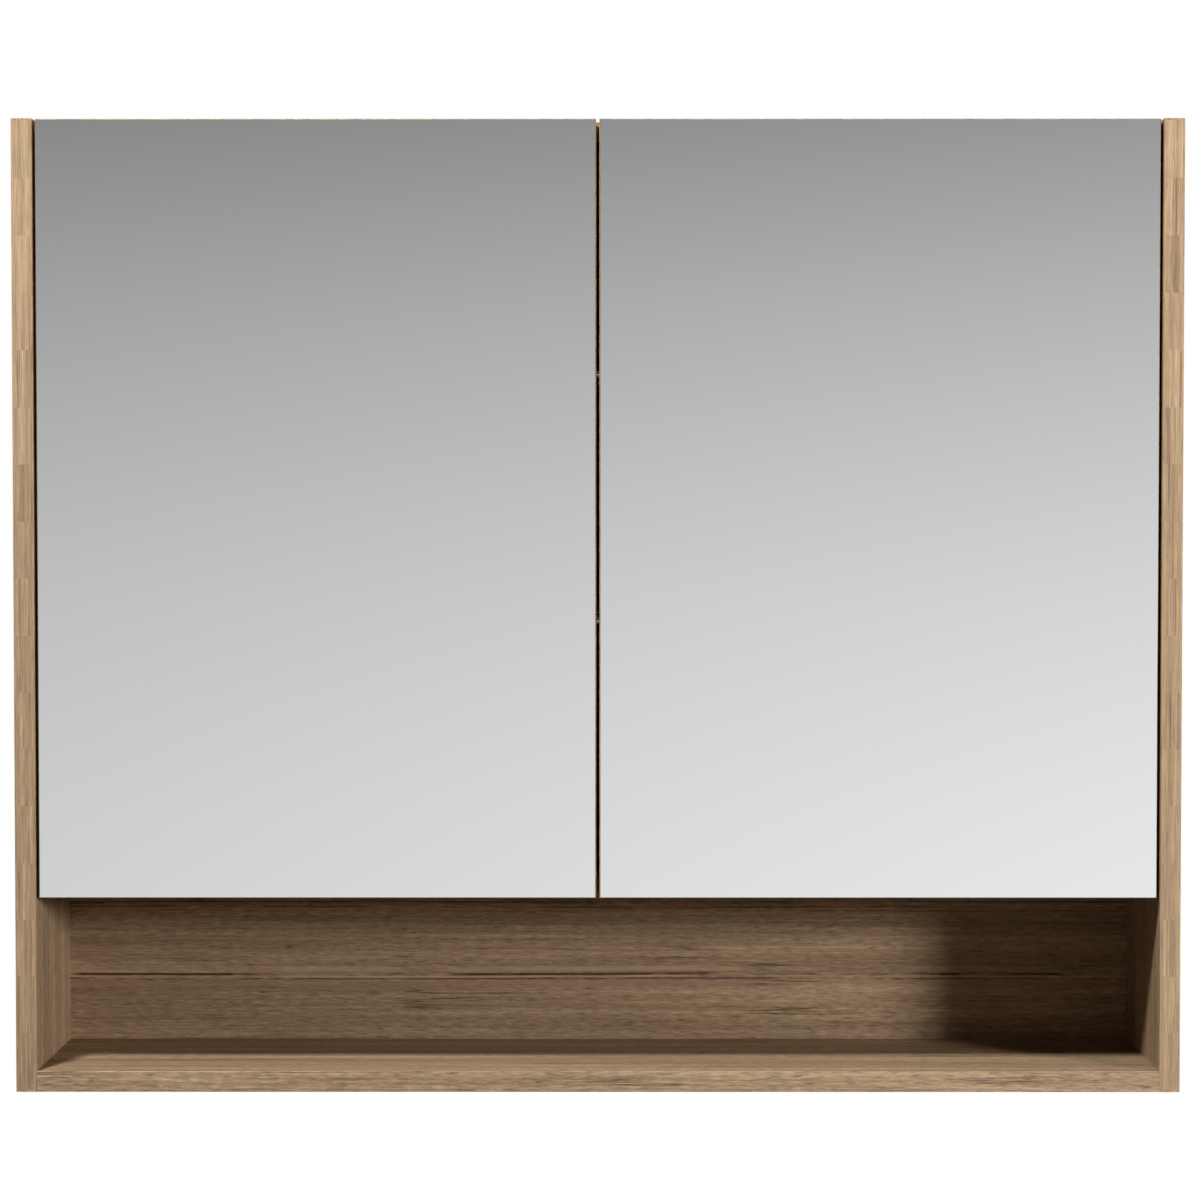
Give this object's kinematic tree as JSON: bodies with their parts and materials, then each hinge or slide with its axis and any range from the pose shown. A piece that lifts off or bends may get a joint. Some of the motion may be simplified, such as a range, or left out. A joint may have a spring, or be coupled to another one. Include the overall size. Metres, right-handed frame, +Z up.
{
  "type": "shaving cabinet",
  "caption": "Wall-hung shaving cabinet with mirror doors on concealed hinges, glass shelves behind them and an open woodgrain niche below.",
  "frame": {"origin": "centre of the four wall screw holes, on the wall plane", "axes": "+X to the right of someone facing the doors, +Y into the wall, +Z up"},
  "size_m": [0.9, 0.15, 0.75],
  "materials": {
    "woodgrain": "matt woodgrain laminate on particle board",
    "white_board": "matt white laminate on particle board",
    "edging": "woodgrain edging strip",
    "white_edging": "white edging strip",
    "mirror": "silvered glass with a polished arris",
    "glass": "clear toughened glass",
    "nickel": "nickel-plated pressed steel",
    "zinc": "zinc-plated steel",
    "beech": "plain turned beech",
    "foam_tape": "white foam mounting tape",
    "silicone": "clear soft silicone",
    "white_plastic": "moulded white plastic"
  },
  "bodies": {
    "carcass": {"left_side_panel": "woodgrain", "right_side_panel": "woodgrain", "top_panel": "woodgrain", "compartment_floor": "woodgrain", "bottom_panel": "woodgrain", "niche_back": "woodgrain", "compartment_back": "white_board", "upper_hanging_rail": "white_board", "lower_hanging_rail": "white_board", "left_side_edging": "edging", "right_side_edging": "edging", "side_end_edging": "edging", "bottom_panel_edging": "edging", "compartment_edging": "edging", "cam_housings": "zinc", "cam_bolts": "zinc", "cam_caps": "white_plastic", "dowels": "beech", "back_screws": "zinc", "shelf_pins": "nickel", "upper_glass_shelf": "glass", "lower_glass_shelf": "glass", "arm_pins": "nickel", "plate_screws": "zinc", "adjusting_screws": "zinc", "left_lower_hinge_arm": "nickel", "left_lower_mounting_plate": "nickel", "left_upper_hinge_arm": "nickel", "left_upper_mounting_plate": "nickel", "right_lower_hinge_arm": "nickel", "right_lower_mounting_plate": "nickel", "right_upper_hinge_arm": "nickel", "right_upper_mounting_plate": "nickel"},
    "left_outer_links": {"left_lower_outer_link": "nickel", "left_upper_outer_link": "nickel"},
    "left_inner_links": {"left_lower_inner_link": "nickel", "left_upper_inner_link": "nickel"},
    "left_door": {"left_door_board": "woodgrain", "left_mirror": "mirror", "left_mirror_tape": "foam_tape", "left_door_edging": "edging", "left_door_bumpers": "silicone", "left_cup_pins": "nickel", "left_cup_screws": "zinc", "left_lower_hinge_cup": "nickel", "left_upper_hinge_cup": "nickel"},
    "right_outer_links": {"right_lower_outer_link": "nickel", "right_upper_outer_link": "nickel"},
    "right_inner_links": {"right_lower_inner_link": "nickel", "right_upper_inner_link": "nickel"},
    "right_door": {"right_door_board": "woodgrain", "right_mirror": "mirror", "right_mirror_tape": "foam_tape", "right_door_edging": "edging", "right_door_bumpers": "silicone", "right_cup_pins": "nickel", "right_cup_screws": "zinc", "right_lower_hinge_cup": "nickel", "right_upper_hinge_cup": "nickel"}
  },
  "joints": [
    {"name": "left_outer_link_swing", "type": "hinge", "parent": "carcass", "child": "left_outer_links", "pos_m": [-0.3961, -0.1139, 0], "axis": [0, 0, 1], "range_deg": [0, 18.93]},
    {"name": "left_door_swing", "type": "hinge", "parent": "left_outer_links", "child": "left_door", "pos_m": [-0.42175, -0.13635, 0], "axis": [0, 0, -1], "range_deg": [0, 113.43]},
    {"name": "left_inner_link_swing", "type": "hinge", "parent": "carcass", "child": "left_inner_links", "pos_m": [-0.39925, -0.13995, 0], "axis": [0, 0, 1], "range_deg": [0, 27.2]},
    {"name": "right_outer_link_swing", "type": "hinge", "parent": "carcass", "child": "right_outer_links", "pos_m": [0.3961, -0.1139, 0], "axis": [0, 0, -1], "range_deg": [0, 18.93]},
    {"name": "right_door_swing", "type": "hinge", "parent": "right_outer_links", "child": "right_door", "pos_m": [0.42175, -0.13635, 0], "axis": [0, 0, 1], "range_deg": [0, 113.43]},
    {"name": "right_inner_link_swing", "type": "hinge", "parent": "carcass", "child": "right_inner_links", "pos_m": [0.39925, -0.13995, 0], "axis": [0, 0, -1], "range_deg": [0, 27.2]}
  ],
  "couplings": [
    {"joint": "left_outer_link_swing", "follows": "left_door_swing", "ratio": 0.16248},
    {"joint": "left_inner_link_swing", "follows": "left_door_swing", "ratio": 0.23534},
    {"joint": "right_outer_link_swing", "follows": "right_door_swing", "ratio": 0.16248},
    {"joint": "right_inner_link_swing", "follows": "right_door_swing", "ratio": 0.23534}
  ]
}
